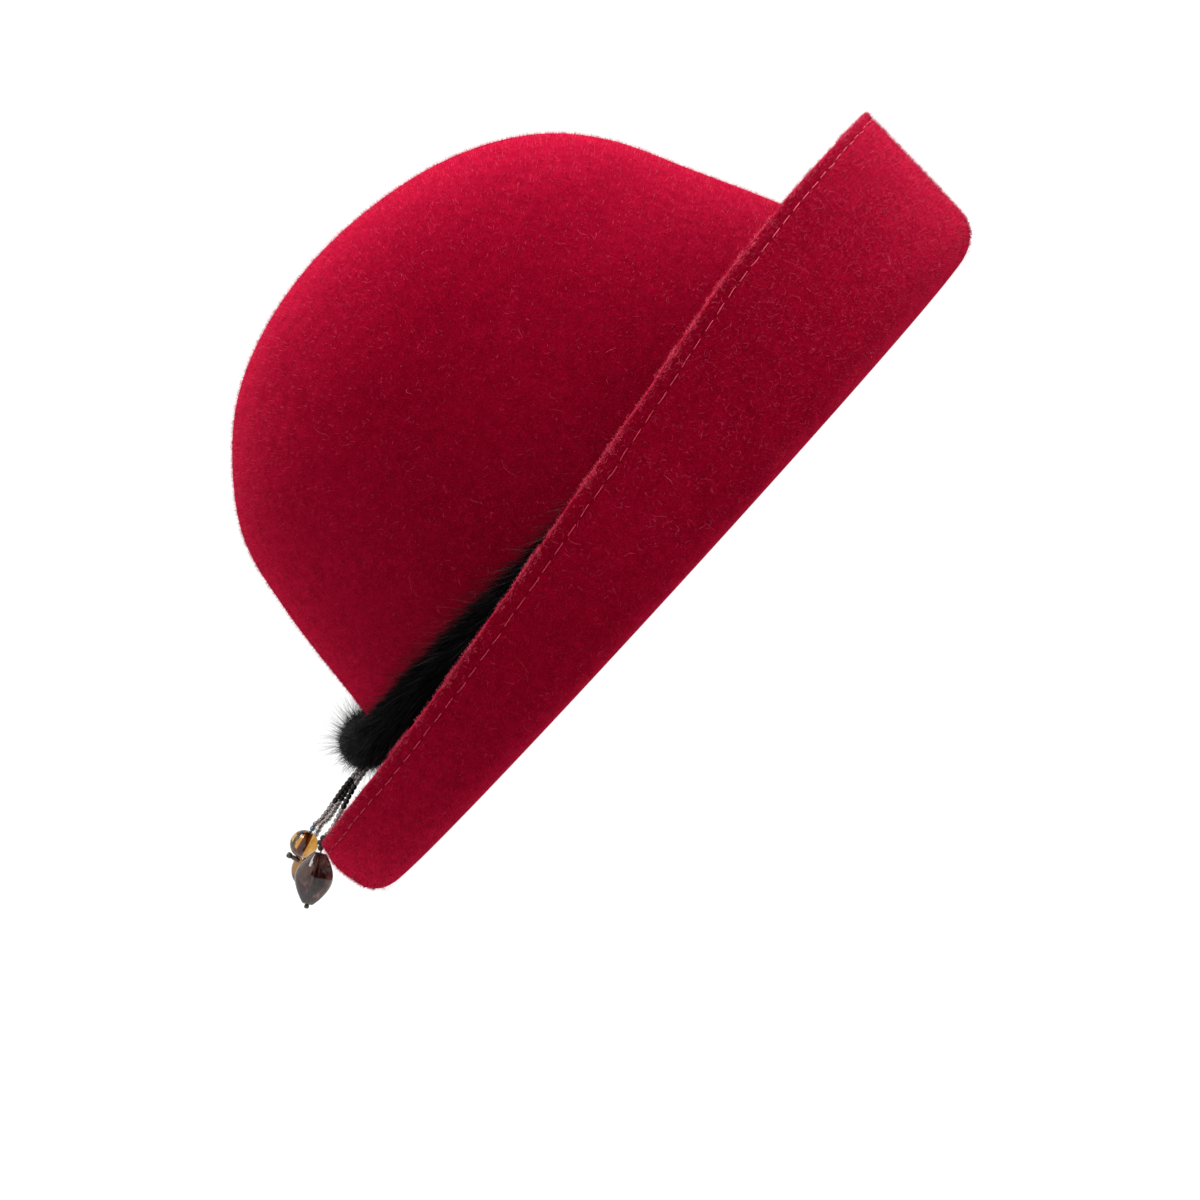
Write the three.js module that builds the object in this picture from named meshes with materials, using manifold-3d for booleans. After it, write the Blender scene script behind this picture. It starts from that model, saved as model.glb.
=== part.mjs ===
// Felt cloche hat with its brim turned up all round: a hollow blocked crown, a brim with a flat floor and
// a turned-up wall, a roll of fur along the right side of the crown, and three bead strings over the back.
// Millimetres. +X is the front, +Y the wearer's left, +Z up. The hat stands on its brim's floor at z = 0.
// Bearings are degrees round the hat from the front: 90 is the wearer's left, 180 the back, 270 the right.

import * as THREE from "three";
import { LoftGeometry } from "three/addons/geometries/LoftGeometry.js";
import { mergeVertices } from "three/addons/utils/BufferGeometryUtils.js";
import Module from "manifold-3d";

const wasm = await Module();
wasm.setup();

// Felt and clearances
const FELT = 2.4; // thickness of the felt
const GAP = 0.3; // clearance between neighbouring pieces
const HALF_TURN = 180;
const FULL_TURN = 360;

// Crown, outer surface: a row for each level, with its reaches from the middle of the head opening
const CROWN_LEVELS = [
  { height: FELT + GAP, front: 103.8, back: 104.2, side: 83.2 },
  { height: 39, front: 94.9, back: 96.8, side: 79.3 },
  { height: 75, front: 81.6, back: 90.6, side: 74.5 },
  { height: 97, front: 72.4, back: 83.9, side: 68.2 },
  { height: 113, front: 60.0, back: 71.5, side: 57.5 },
  { height: 126, front: 39.8, back: 55.2, side: 42.1 },
  { height: 133.5, front: 14.5, back: 34.5, side: 24.0 },
];
const CROWN_TOP = { height: 135.7, x: -9 };
const CROWN_COLUMNS = 60;
const CROWN_RINGS = 14;
const SLOPE_STEP = 0.005; // small step, of a degree or of the rise, for the crown's slope
const HALVINGS = 24; // halvings of the rise when a height is looked for

// Brim, outer surface: the reaches of its fold, then evenly spaced bearings from the front round to the back.
// height is the top edge, bend the radius of the roll, lean how far the top edge stands out beyond the fold,
// and bow how far the middle of the wall swells out.
const FOLD = { front: 123.9, back: 134.1, side: 112.0 };
const BRIM_BEARINGS = [
  { bearing: 0, height: 47.7, bend: 10.5, lean: 2.3, bow: 0.0 },
  { bearing: 30, height: 46.5, bend: 10.5, lean: 2.6, bow: 0.0 },
  { bearing: 60, height: 43.4, bend: 10.5, lean: 3.0, bow: 0.0 },
  { bearing: 90, height: 34.1, bend: 10.0, lean: 3.0, bow: 0.0 },
  { bearing: 120, height: 26.1, bend: 9.5, lean: 2.0, bow: 0.4 },
  { bearing: 150, height: 23.2, bend: 9.0, lean: 0.0, bow: 0.9 },
  { bearing: 180, height: 22.3, bend: 8.5, lean: -2.0, bow: 1.3 },
];
const BRIM_COLUMNS = 72;
const FLOOR_STEPS = 2;
const BEND_STEPS = 4;
const WALL_STEPS = 4;

// Fur roll: a row for each bearing along it, with the height and the radius of its core
const FUR_STATIONS = [
  { bearing: 175, height: 33.0, radius: 2.6 },
  { bearing: 177, height: 32.8, radius: 5.0 },
  { bearing: 181, height: 32.3, radius: 6.0 },
  { bearing: 198, height: 30.2, radius: 5.7 },
  { bearing: 220, height: 29.4, radius: 5.2 },
  { bearing: 245, height: 27.4, radius: 5.0 },
  { bearing: 270, height: 25.0, radius: 4.6 },
  { bearing: 292, height: 23.4, radius: 3.6 },
  { bearing: 302, height: 23.0, radius: 2.0 },
];
const FUR_RINGS = 20;
const FUR_SIDES = 10;
const LOCK = { rows: 12, radius: 2.1, length: 7.5, sides: 5, lift: 24, sunk: 0.55 };
const LOCK_ANGLES = [-58, -14, 30, 74, 112]; // round the roll: 0 points straight out of the crown, 90 up
const TIP_LOCKS = { count: 7, spread: 38 };

// Bead strings, stiff enough to stand: a row for each, with the bearings where it leaves the crown
// and crosses the brim's edge, how high over the edge it passes, how far it runs on from there,
// and how far that run (fall) and the large bead (tilt) lean out from straight down
const STRINGS = [
  { name: "round", leaves: 184.6, crosses: 180.0, lift: 4.4, drop: 0.0, fall: 77, tilt: 77 },
  { name: "oval", leaves: 182.4, crosses: 176.0, lift: 3.1, drop: 7.0, fall: 75, tilt: 58 },
  { name: "nugget", leaves: 186.8, crosses: 185.2, lift: 0.0, drop: 1.9, fall: 39, tilt: 62 },
];
const SEED_RADIUS = 0.85;
const THREAD_RADIUS = 0.4;
const STOPPER_RADIUS = 1.1;
const STRING_SIDES = 8;
const STRING_STEPS = 22;
const STRING_START = 28.4; // height where the strings leave the crown, under the fur
const STRING_BOW = 0.9; // how far they stand up between the crown and the brim's edge

// Large beads, each drilled from top to bottom
const DRILL_RADIUS = 0.75;
const ROUND_BEAD = { radius: 4.1, height: 8.2 };
const OVAL_BEAD = { radius: 3.9, height: 10.0 };
const BEAD_SIDES = 14;
const BEAD_RINGS = 9;
const NUGGET = { height: 15.0, flat: 0.86, sides: 8, turn: 22.5 };
const NUGGET_LEVELS = [
  { share: 0, radius: 1.6 },
  { share: 0.2, radius: 3.7 },
  { share: 0.47, radius: 5.5 },
  { share: 0.76, radius: 4.6 },
  { share: 1, radius: 1.9 },
];

// Colours
const FELT_RED = { color: 0x8c0a22, roughness: 0.95, metalness: 0 };
const FUR_BLACK = { color: 0x0c0b0d, roughness: 0.75, metalness: 0 };
const SEED_GREY = { color: 0x77706c, roughness: 0.25, metalness: 0 };
const AMBER = { color: 0x9c5c16, roughness: 0.12, metalness: 0 };
const SMOKE = { color: 0x46363f, roughness: 0.12, metalness: 0 };

const rad = THREE.MathUtils.degToRad;
const UP = new THREE.Vector3(0, 0, 1);
const range = (count) => Array.from({ length: count }, (_, i) => i);

// Solids for joining and cutting
function solidOf(geometry) {
  const bare = new THREE.BufferGeometry();
  bare.setAttribute("position", geometry.attributes.position);
  bare.setIndex(geometry.index);
  const joined = mergeVertices(bare);
  const vertProperties = Float32Array.from(joined.attributes.position.array);
  const triVerts = Uint32Array.from(joined.index.array);
  return new wasm.Manifold(new wasm.Mesh({ numProp: 3, vertProperties, triVerts }));
}

function geometryOf(solid) {
  const mesh = solid.getMesh();
  const geometry = new THREE.BufferGeometry();
  geometry.setAttribute("position", new THREE.BufferAttribute(Float32Array.from(mesh.vertProperties), 3));
  geometry.setIndex(new THREE.BufferAttribute(Uint32Array.from(mesh.triVerts), 1));
  return geometry;
}

// Ovals of the hat, given by their reaches to the front, the back and the side
function ovalPoint(oval, bearing) {
  const middle = (oval.front - oval.back) / 2;
  const half = (oval.front + oval.back) / 2;
  return new THREE.Vector3(middle + half * Math.cos(rad(bearing)), oval.side * Math.sin(rad(bearing)), 0);
}

function ovalOutward(oval, bearing) {
  const half = (oval.front + oval.back) / 2;
  return new THREE.Vector3(Math.cos(rad(bearing)) / half, Math.sin(rad(bearing)) / oval.side, 0).normalize();
}

// Crown: each bearing has an arch from its foot over the top to the foot across from it; rise is 0 to 1 up it
function crownPoint(bearing, rise) {
  const climb = (side) => CROWN_LEVELS.map((level) => ovalPoint(level, side).setZ(level.height));
  const top = new THREE.Vector3(CROWN_TOP.x, 0, CROWN_TOP.height);
  const arch = [...climb(bearing), top, ...climb(bearing + HALF_TURN).reverse()];
  return new THREE.CatmullRomCurve3(arch).getPoint(rise / 2);
}

function crownOutward(bearing, rise) {
  if (rise > 1 - SLOPE_STEP) {
    return UP.clone();
  }
  const along = crownPoint(bearing + SLOPE_STEP, rise).sub(crownPoint(bearing - SLOPE_STEP, rise));
  const lower = Math.max(rise - SLOPE_STEP, 0);
  const climb = crownPoint(bearing, rise + SLOPE_STEP).sub(crownPoint(bearing, lower));
  return along.cross(climb).normalize();
}

function crownRise(bearing, height) {
  let low = 0;
  let high = 1;
  for (let i = 0; i < HALVINGS; i += 1) {
    const middle = (low + high) / 2;
    if (crownPoint(bearing, middle).z < height) {
      low = middle;
    } else {
      high = middle;
    }
  }
  return low;
}

// Rings of the crown from its foot to its top, at this distance out from its outer face.
// The foot is cut level, so there the distance is measured level.
function crownRings(distance) {
  const bearings = range(CROWN_COLUMNS).map((i) => (i * FULL_TURN) / CROWN_COLUMNS);
  const rises = range(CROWN_RINGS + 1).map((i) => i / CROWN_RINGS);
  const outward = (bearing, rise) =>
    rise === 0 ? ovalOutward(CROWN_LEVELS[0], bearing) : crownOutward(bearing, rise);
  return rises.map((rise) =>
    bearings.map((bearing) => crownPoint(bearing, rise).addScaledVector(outward(bearing, rise), distance)),
  );
}

function crownGeometry() {
  return new LoftGeometry([...crownRings(-FELT).reverse(), ...crownRings(0)]);
}

// Brim: a column of its table at any bearing, the same on both sides of the hat
function brimValue(column, bearing) {
  const last = BRIM_BEARINGS.length - 1;
  const spacing = BRIM_BEARINGS[1].bearing;
  const turned = Math.abs(THREE.MathUtils.euclideanModulo(bearing + HALF_TURN, FULL_TURN) - HALF_TURN);
  const row = Math.min(Math.floor(turned / spacing), last - 1);
  const mirrored = (i) => BRIM_BEARINGS[last - Math.abs(last - Math.abs(i))][column];
  const around = [row - 1, row, row + 1, row + 2].map((i) => new THREE.Vector2(i, mirrored(i)));
  const share = turned / spacing - row;
  return new THREE.SplineCurve(around).getPoint((1 + share) / (around.length - 1)).y;
}

// One face of the brim's felt at a bearing, at this depth from the outer face: floor, bend, then up
function brimFace(bearing, depth) {
  const bend = brimValue("bend", bearing);
  const height = brimValue("height", bearing);
  const lean = brimValue("lean", bearing);
  const bow = brimValue("bow", bearing);
  const foot = CROWN_LEVELS[0];
  const opening = ovalPoint(foot, bearing).addScaledVector(ovalOutward(foot, bearing), -FELT);
  const out = ovalOutward(FOLD, bearing);
  const fold = ovalPoint(FOLD, bearing);
  const tilt = Math.atan2(lean, height - bend);
  const floorEnd = fold.clone().addScaledVector(out, -bend);
  const points = range(FLOOR_STEPS).map((i) => opening.clone().lerp(floorEnd, i / FLOOR_STEPS).setZ(depth));
  for (const i of range(BEND_STEPS + 1)) {
    const turn = (Math.PI / 2 - tilt) * (i / BEND_STEPS);
    const inner = bend - depth;
    const rolled = floorEnd.clone().addScaledVector(out, inner * Math.sin(turn));
    points.push(rolled.setZ(bend - inner * Math.cos(turn)));
  }
  const wallFoot = points[points.length - 1];
  const edge = fold.clone().addScaledVector(out, lean - depth / Math.cos(tilt)).setZ(height);
  for (const i of range(WALL_STEPS)) {
    const share = (i + 1) / WALL_STEPS;
    const swell = bow * Math.sin(Math.PI * share);
    points.push(wallFoot.clone().lerp(edge, share).addScaledVector(out, swell));
  }
  return points;
}

function brimGeometry() {
  const bearings = range(BRIM_COLUMNS + 1).map((i) => ((i % BRIM_COLUMNS) * FULL_TURN) / BRIM_COLUMNS);
  return new LoftGeometry(bearings.map((b) => [...brimFace(b, FELT), ...brimFace(b, 0).reverse()]));
}

// Fur: the middle of the roll follows the crown's wall, clear of it by the gap
function furStation(row) {
  const rise = crownRise(row.bearing, row.height);
  const outward = crownOutward(row.bearing, rise);
  return crownPoint(row.bearing, rise).addScaledVector(outward, row.radius + GAP);
}

function furRadius(share) {
  const place = share * (FUR_STATIONS.length - 1);
  const row = Math.min(Math.floor(place), FUR_STATIONS.length - 2);
  return THREE.MathUtils.lerp(FUR_STATIONS[row].radius, FUR_STATIONS[row + 1].radius, place - row);
}

function furGeometry() {
  const path = new THREE.CatmullRomCurve3(FUR_STATIONS.map(furStation));
  // axes of the roll at a share of its length: ahead towards the tail, out from the crown, and over the top
  const axes = (share) => {
    const ahead = path.getTangent(share).negate();
    const over = UP.clone().addScaledVector(ahead, -UP.dot(ahead)).normalize();
    return { ahead, over, out: ahead.clone().cross(over).negate() };
  };
  const around = ({ out, over }, angle) =>
    out.clone().multiplyScalar(Math.cos(rad(angle))).addScaledVector(over, Math.sin(rad(angle)));
  const rings = range(FUR_RINGS + 1).map((i) => {
    const share = i / FUR_RINGS;
    const frame = axes(share);
    const middle = path.getPoint(share);
    return range(FUR_SIDES).map((k) =>
      middle.clone().addScaledVector(around(frame, (-k * FULL_TURN) / FUR_SIDES), furRadius(share)),
    );
  });
  let fur = solidOf(new LoftGeometry(rings, { capStart: true, capEnd: true }));
  const addLock = (root, direction) => {
    const cone = new THREE.ConeGeometry(LOCK.radius, LOCK.length, LOCK.sides);
    cone.translate(0, LOCK.length / 2, 0);
    cone.applyQuaternion(new THREE.Quaternion().setFromUnitVectors(new THREE.Vector3(0, 1, 0), direction));
    cone.translate(root.x, root.y, root.z);
    fur = fur.add(solidOf(cone));
  };
  for (const i of range(LOCK.rows)) {
    for (const [k, angle] of LOCK_ANGLES.entries()) {
      const share = (i + 1 + (k % 2) / 2) / (LOCK.rows + 2);
      const frame = axes(share);
      const side = around(frame, angle);
      const root = path.getPoint(share).addScaledVector(side, furRadius(share) * LOCK.sunk);
      const direction = frame.ahead.clone().multiplyScalar(Math.cos(rad(LOCK.lift)));
      addLock(root, direction.addScaledVector(side, Math.sin(rad(LOCK.lift))).normalize());
    }
  }
  const tip = axes(0);
  for (const k of range(TIP_LOCKS.count)) {
    const side = around(tip, (k * HALF_TURN) / (TIP_LOCKS.count - 1) - HALF_TURN / 2);
    const direction = tip.ahead.clone().multiplyScalar(Math.cos(rad(TIP_LOCKS.spread)));
    direction.addScaledVector(side, Math.sin(rad(TIP_LOCKS.spread))).normalize();
    addLock(path.getPoint(0).addScaledVector(tip.ahead, -LOCK.radius), direction);
  }
  const crownAndGap = new LoftGeometry(crownRings(GAP), { capStart: true });
  fur = fur.subtract(solidOf(crownAndGap));
  for (const string of STRINGS) {
    fur = fur.subtract(solidOf(tube(stringCourse(string).path, SEED_RADIUS + GAP)));
  }
  return geometryOf(fur);
}

// Large beads stand on z = 0 until they are hung
function drilled(geometry, height) {
  const drill = new THREE.CylinderGeometry(DRILL_RADIUS, DRILL_RADIUS, height * 2, STRING_SIDES);
  return geometryOf(solidOf(geometry).subtract(solidOf(drill.rotateX(Math.PI / 2))));
}

function roundedBead({ radius, height }) {
  const ball = new THREE.SphereGeometry(1, BEAD_SIDES, BEAD_RINGS).rotateX(Math.PI / 2);
  return drilled(ball.scale(radius, radius, height / 2).translate(0, 0, height / 2), height);
}

function nuggetBead() {
  const rings = NUGGET_LEVELS.map(({ share, radius }, i) =>
    range(NUGGET.sides).map((k) => {
      const angle = rad((k * FULL_TURN) / NUGGET.sides + i * NUGGET.turn);
      return new THREE.Vector3(
        radius * Math.cos(angle), NUGGET.flat * radius * Math.sin(angle), share * NUGGET.height,
      );
    }),
  );
  return drilled(new LoftGeometry(rings, { capStart: true, capEnd: true }), NUGGET.height);
}

const LARGE_BEADS = {
  round: { geometry: roundedBead(ROUND_BEAD), height: ROUND_BEAD.height, look: AMBER },
  oval: { geometry: roundedBead(OVAL_BEAD), height: OVAL_BEAD.height, look: AMBER },
  nugget: { geometry: nuggetBead(), height: NUGGET.height, look: SMOKE },
};

// Bead strings: out from the crown and over the brim's edge to the top of the large bead.
// down is the way that the large bead points from there.
function stringCourse({ leaves, crosses, lift, drop, fall, tilt }) {
  const clear = SEED_RADIUS + GAP;
  const rise = crownRise(leaves, STRING_START);
  const start = crownPoint(leaves, rise).addScaledVector(crownOutward(leaves, rise), clear);
  const out = ovalOutward(FOLD, crosses);
  const leaning = (angle) =>
    out.clone().multiplyScalar(Math.sin(rad(angle))).addScaledVector(UP, -Math.cos(rad(angle)));
  const down = leaning(tilt);
  const corner = clear * Math.SQRT1_2;
  const beside = (depth, away) =>
    brimFace(crosses, depth).at(-1).addScaledVector(out, away).addScaledVector(UP, corner + lift);
  const inner = beside(FELT, -corner);
  const outer = beside(0, corner);
  const crest = inner.clone().lerp(outer, 0.5).addScaledVector(UP, clear - corner);
  const middle = start.clone().lerp(inner, 0.5).addScaledVector(UP, STRING_BOW);
  const end = outer.clone().addScaledVector(leaning(fall), drop + GAP);
  const slant = SEED_RADIUS * Math.sin(rad(Math.abs(tilt - fall)));
  const path = new THREE.CatmullRomCurve3([start, middle, inner, crest, outer, end]);
  return { path, down, top: end.clone().addScaledVector(down, GAP + slant) };
}

function tube(path, radius) {
  const ring = new THREE.Shape().absarc(0, 0, radius, 0, 2 * Math.PI);
  return new THREE.ExtrudeGeometry(ring, {
    steps: STRING_STEPS, curveSegments: STRING_SIDES / 2, extrudePath: path, bevelEnabled: false,
  });
}

function hangString(row) {
  const bead = LARGE_BEADS[row.name];
  const { path, down, top } = stringCourse(row);
  const turn = new THREE.Quaternion().setFromUnitVectors(UP, down.clone().negate());
  const place = (geometry, distance) => {
    const spot = top.clone().addScaledVector(down, distance);
    return geometry.applyQuaternion(turn).translate(spot.x, spot.y, spot.z);
  };
  const stopperAt = bead.height + GAP + STOPPER_RADIUS;
  const threadLength = stopperAt + GAP + SEED_RADIUS;
  const thread = new THREE.CylinderGeometry(THREAD_RADIUS, THREAD_RADIUS, threadLength, STRING_SIDES);
  const stopper = new THREE.SphereGeometry(STOPPER_RADIUS, STRING_SIDES + 2, STRING_SIDES - 2);
  const string = solidOf(tube(path, SEED_RADIUS))
    .add(solidOf(place(thread.rotateX(Math.PI / 2), stopperAt - threadLength / 2)))
    .add(solidOf(place(stopper, stopperAt)));
  addPiece(`strand_${row.name}`, geometryOf(string), SEED_GREY);
  addPiece(`bead_${row.name}`, place(bead.geometry, bead.height), bead.look);
}

const hat = new THREE.Group();

function addPiece(name, geometry, look) {
  const piece = new THREE.Mesh(geometry, new THREE.MeshStandardMaterial(look));
  piece.name = name;
  hat.add(piece);
}

addPiece("crown", crownGeometry(), FELT_RED);
addPiece("brim", brimGeometry(), FELT_RED);
addPiece("fur_trim", furGeometry(), FUR_BLACK);
STRINGS.forEach(hangString);

// The origin is the middle of the whole hat's box, on the floor of the brim
const box = new THREE.Box3().setFromObject(hat, true);
const middle = box.getCenter(new THREE.Vector3());
hat.position.set(-middle.x, -middle.y, -box.min.z);
const part = new THREE.Group();
part.add(hat);

export default part;
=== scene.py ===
from math import asin, atan2, cos, degrees, exp, pi, radians, sin, sqrt

import bmesh
import bpy
import numpy as np
from mathutils import Matrix, Vector


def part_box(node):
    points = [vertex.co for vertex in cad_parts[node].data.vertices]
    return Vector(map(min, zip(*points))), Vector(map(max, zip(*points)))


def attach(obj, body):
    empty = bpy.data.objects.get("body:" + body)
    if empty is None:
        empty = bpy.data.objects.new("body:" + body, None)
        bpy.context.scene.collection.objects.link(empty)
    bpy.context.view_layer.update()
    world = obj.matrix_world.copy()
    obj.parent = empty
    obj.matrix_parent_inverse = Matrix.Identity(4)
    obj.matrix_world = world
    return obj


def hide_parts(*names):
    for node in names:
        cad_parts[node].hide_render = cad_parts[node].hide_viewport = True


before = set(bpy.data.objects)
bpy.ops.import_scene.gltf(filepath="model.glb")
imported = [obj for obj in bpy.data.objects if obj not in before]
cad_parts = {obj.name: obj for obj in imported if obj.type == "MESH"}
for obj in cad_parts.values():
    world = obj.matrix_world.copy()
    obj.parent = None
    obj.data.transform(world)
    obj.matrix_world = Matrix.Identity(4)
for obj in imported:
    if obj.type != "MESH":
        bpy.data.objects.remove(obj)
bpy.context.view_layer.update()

# Sizes in millimetres, about the middle of the head opening: +X the front, +Y the left, +Z up.
# Bearings are degrees from the front, 90 at the left, 180 at the back.
MM = 0.001
TINY = 1e-6
FELT = 2.4
GAP = 0.3
UP = Vector((0, 0, 1))


def table(keys, rows):
    return [dict(zip(keys.split(), row)) for row in rows]


CROWN_LEVELS = table("height front back side", [
    (FELT + GAP, 103.8, 104.2, 83.2),
    (39, 94.9, 96.8, 79.3),
    (75, 81.6, 90.6, 74.5),
    (97, 72.4, 83.9, 68.2),
    (113, 60.0, 71.5, 57.5),
    (126, 39.8, 55.2, 42.1),
    (133.5, 14.5, 34.5, 24.0),
])
CROWN_TOP = Vector((-9, 0, 135.7))
CROWN_COLUMNS, CROWN_RINGS = 168, 56
HALVINGS = 24
FOLD = dict(front=123.9, back=134.1, side=112.0)
BRIM_SPACING = 30
BRIM_HEIGHTS = [47.7, 46.5, 43.4, 34.1, 26.1, 23.2, 22.3]
BRIM_BENDS = [10.5, 10.5, 10.5, 10.0, 9.5, 9.0, 8.5]
BRIM_LEANS = [2.3, 2.6, 3.0, 3.0, 2.0, 0.0, -2.0]
BRIM_BOWS = [0.0, 0.0, 0.0, 0.0, 0.4, 0.9, 1.3]
BRIM_COLUMNS = 264
FLOOR_STEPS, BEND_STEPS, LIP_STEPS, LIP_ROUND = 6, 8, 6, 0.36
WALL_SHARES = [0.15, 0.3, 0.45, 0.6, 0.75]
BRIM_SEAMS = [2.5, 2.8, 3.6, 4.1, 3.9, 3.5, 3.2]
EDGE_SHARES = [1.9, 1.55, 1.35, 1.2, 1.1, 1.0, 0.9, 0.78, 0.6, 0.4, 0.2]
FAR_BELOW = 60
# slow unevenness of the felt: dents in the crown, waves in the brim's wall, and its ragged edge
DENTS = dict(size=23, amount=0.35, seed=1.0)
WAVES = dict(size=19, amount=0.5, seed=3.0)
RAGGED = dict(size=3.1, amount=0.22, seed=5.0)
WAVES_FROM, WAVES_OVER, RAGGED_DOWN = 6, 14, 0.4
STITCH = dict(outside=3.9, inside=1.6, thread=0.11, groove=0.3, groove_width=0.6)
FUR_STATIONS = table("bearing height radius", [
    (175, 33.0, 2.6),
    (177, 32.8, 5.0),
    (181, 32.3, 6.0),
    (198, 30.2, 5.7),
    (220, 29.4, 5.2),
    (245, 27.4, 5.0),
    (270, 25.0, 4.6),
    (292, 23.4, 3.6),
    (302, 23.0, 2.0),
])
# where the hair stands higher above the brim's edge, by share of the roll's length
FUR_SWELL = dict(share=0.63, spread=0.12, lift=0.34, longer=0.5)
STRINGS = dict(
    round=dict(leaves=184.6, crosses=180.0, lift=4.4, drop=0.0, fall=77, tilt=77),
    oval=dict(leaves=182.4, crosses=176.0, lift=3.1, drop=7.0, fall=75, tilt=58),
    nugget=dict(leaves=186.8, crosses=185.2, lift=0.0, drop=1.9, fall=39, tilt=62),
)
SEED = dict(radius=0.85, length=1.45, hole=0.35, pitch=1.52)
STRING_START, STRING_BOW = 28.4, 0.9
THREAD_RADIUS, DRILL_RADIUS = 0.3, 0.75
NUGGET = dict(height=15.0, flat=0.86, rows=28, sides=48, softness=6, dip=0.25, twist=0.05)
NUGGET_RADII = [1.5, 2.9, 4.0, 4.85, 5.35, 5.4, 5.0, 4.2, 3.1, 1.8]
NUGGET_FLATS = [10, 72, 128, 205, 262, 318]

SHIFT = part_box("brim")[1].x / MM - (FOLD["front"] + BRIM_LEANS[0])


def to_row(point):
    """A point of the tables' frame in the row's frame, in metres."""
    return Vector((point[0] + SHIFT, point[1], point[2])) * MM


# The hat's surfaces

def oval_point(oval, bearing, height=0):
    turn = radians(bearing)
    middle, half = (oval["front"] - oval["back"]) / 2, (oval["front"] + oval["back"]) / 2
    return Vector((middle + half * cos(turn), oval["side"] * sin(turn), height))


def oval_outward(oval, bearing):
    turn = radians(bearing)
    half = (oval["front"] + oval["back"]) / 2
    return Vector((cos(turn) / half, sin(turn) / oval["side"], 0)).normalized()


def cubic(b, c, start, end, w):
    """From b to c with these slopes at its ends, at a share w of the way."""
    square = 3 * (c - b) - 2 * start - end
    cube = 2 * (b - c) + start + end
    return b + start * w + square * w**2 + cube * w**3


def smooth_line(points, share):
    """A point at a share of the way along a smooth line through points."""
    place = share * (len(points) - 1)
    k = min(int(place), len(points) - 2)
    w = place - k
    b, c = points[k], points[k + 1]
    a = points[k - 1] if k > 0 else 2 * b - c
    d = points[k + 2] if k + 2 < len(points) else 2 * c - b
    near, span, far = (max(way.length, TINY) ** 0.5 for way in (b - a, c - b, d - c))
    start = ((b - a) / near - (c - a) / (near + span) + (c - b) / span) * span
    end = ((c - b) / span - (d - b) / (span + far) + (d - c) / far) * span
    return cubic(b, c, start, end, w)


def crown_point(bearing, rise):
    side = [oval_point(level, bearing, level["height"]) for level in CROWN_LEVELS]
    across = [oval_point(level, bearing + 180, level["height"]) for level in CROWN_LEVELS]
    return smooth_line([*side, CROWN_TOP, *reversed(across)], rise / 2)


def crown_outward(bearing, rise, step=0.005):
    if rise > 1 - step:
        return UP.copy()
    along = crown_point(bearing + step, rise) - crown_point(bearing - step, rise)
    climb = crown_point(bearing, rise + step) - crown_point(bearing, max(rise - step, 0))
    return along.cross(climb).normalized()


def crown_rise(bearing, height):
    low, high = 0.0, 1.0
    for _ in range(HALVINGS):
        middle = (low + high) / 2
        low, high = (middle, high) if crown_point(bearing, middle).z < height else (low, middle)
    return low


def brim_value(column, bearing):
    last = len(column) - 1
    turned = abs((bearing + 180) % 360 - 180)
    row = min(int(turned / BRIM_SPACING), last - 1)
    a, b, c, d = (column[last - abs(last - abs(i))] for i in range(row - 1, row + 3))
    w = turned / BRIM_SPACING - row
    start, end = (c - a) / 2, (d - b) / 2
    return cubic(b, c, start, end, w)


def brim_wall(bearing):
    """The brim's wall at a bearing: its outer top edge, the way up it, and the way out of it."""
    bend, height = brim_value(BRIM_BENDS, bearing), brim_value(BRIM_HEIGHTS, bearing)
    lean = brim_value(BRIM_LEANS, bearing)
    out = oval_outward(FOLD, bearing)
    tilt = atan2(lean, height - bend)
    climb = out * sin(tilt) + UP * cos(tilt)
    outward = out * cos(tilt) - UP * sin(tilt)
    edge = oval_point(FOLD, bearing, height) + out * lean
    return edge, climb, outward


def brim_swell(bearing, below):
    """How the wall swells out at a distance below its top edge."""
    reach = brim_value(BRIM_HEIGHTS, bearing) - brim_value(BRIM_BENDS, bearing)
    bow = brim_value(BRIM_BOWS, bearing) * sin(pi * min(1, below / reach))
    return oval_outward(FOLD, bearing) * bow


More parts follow.
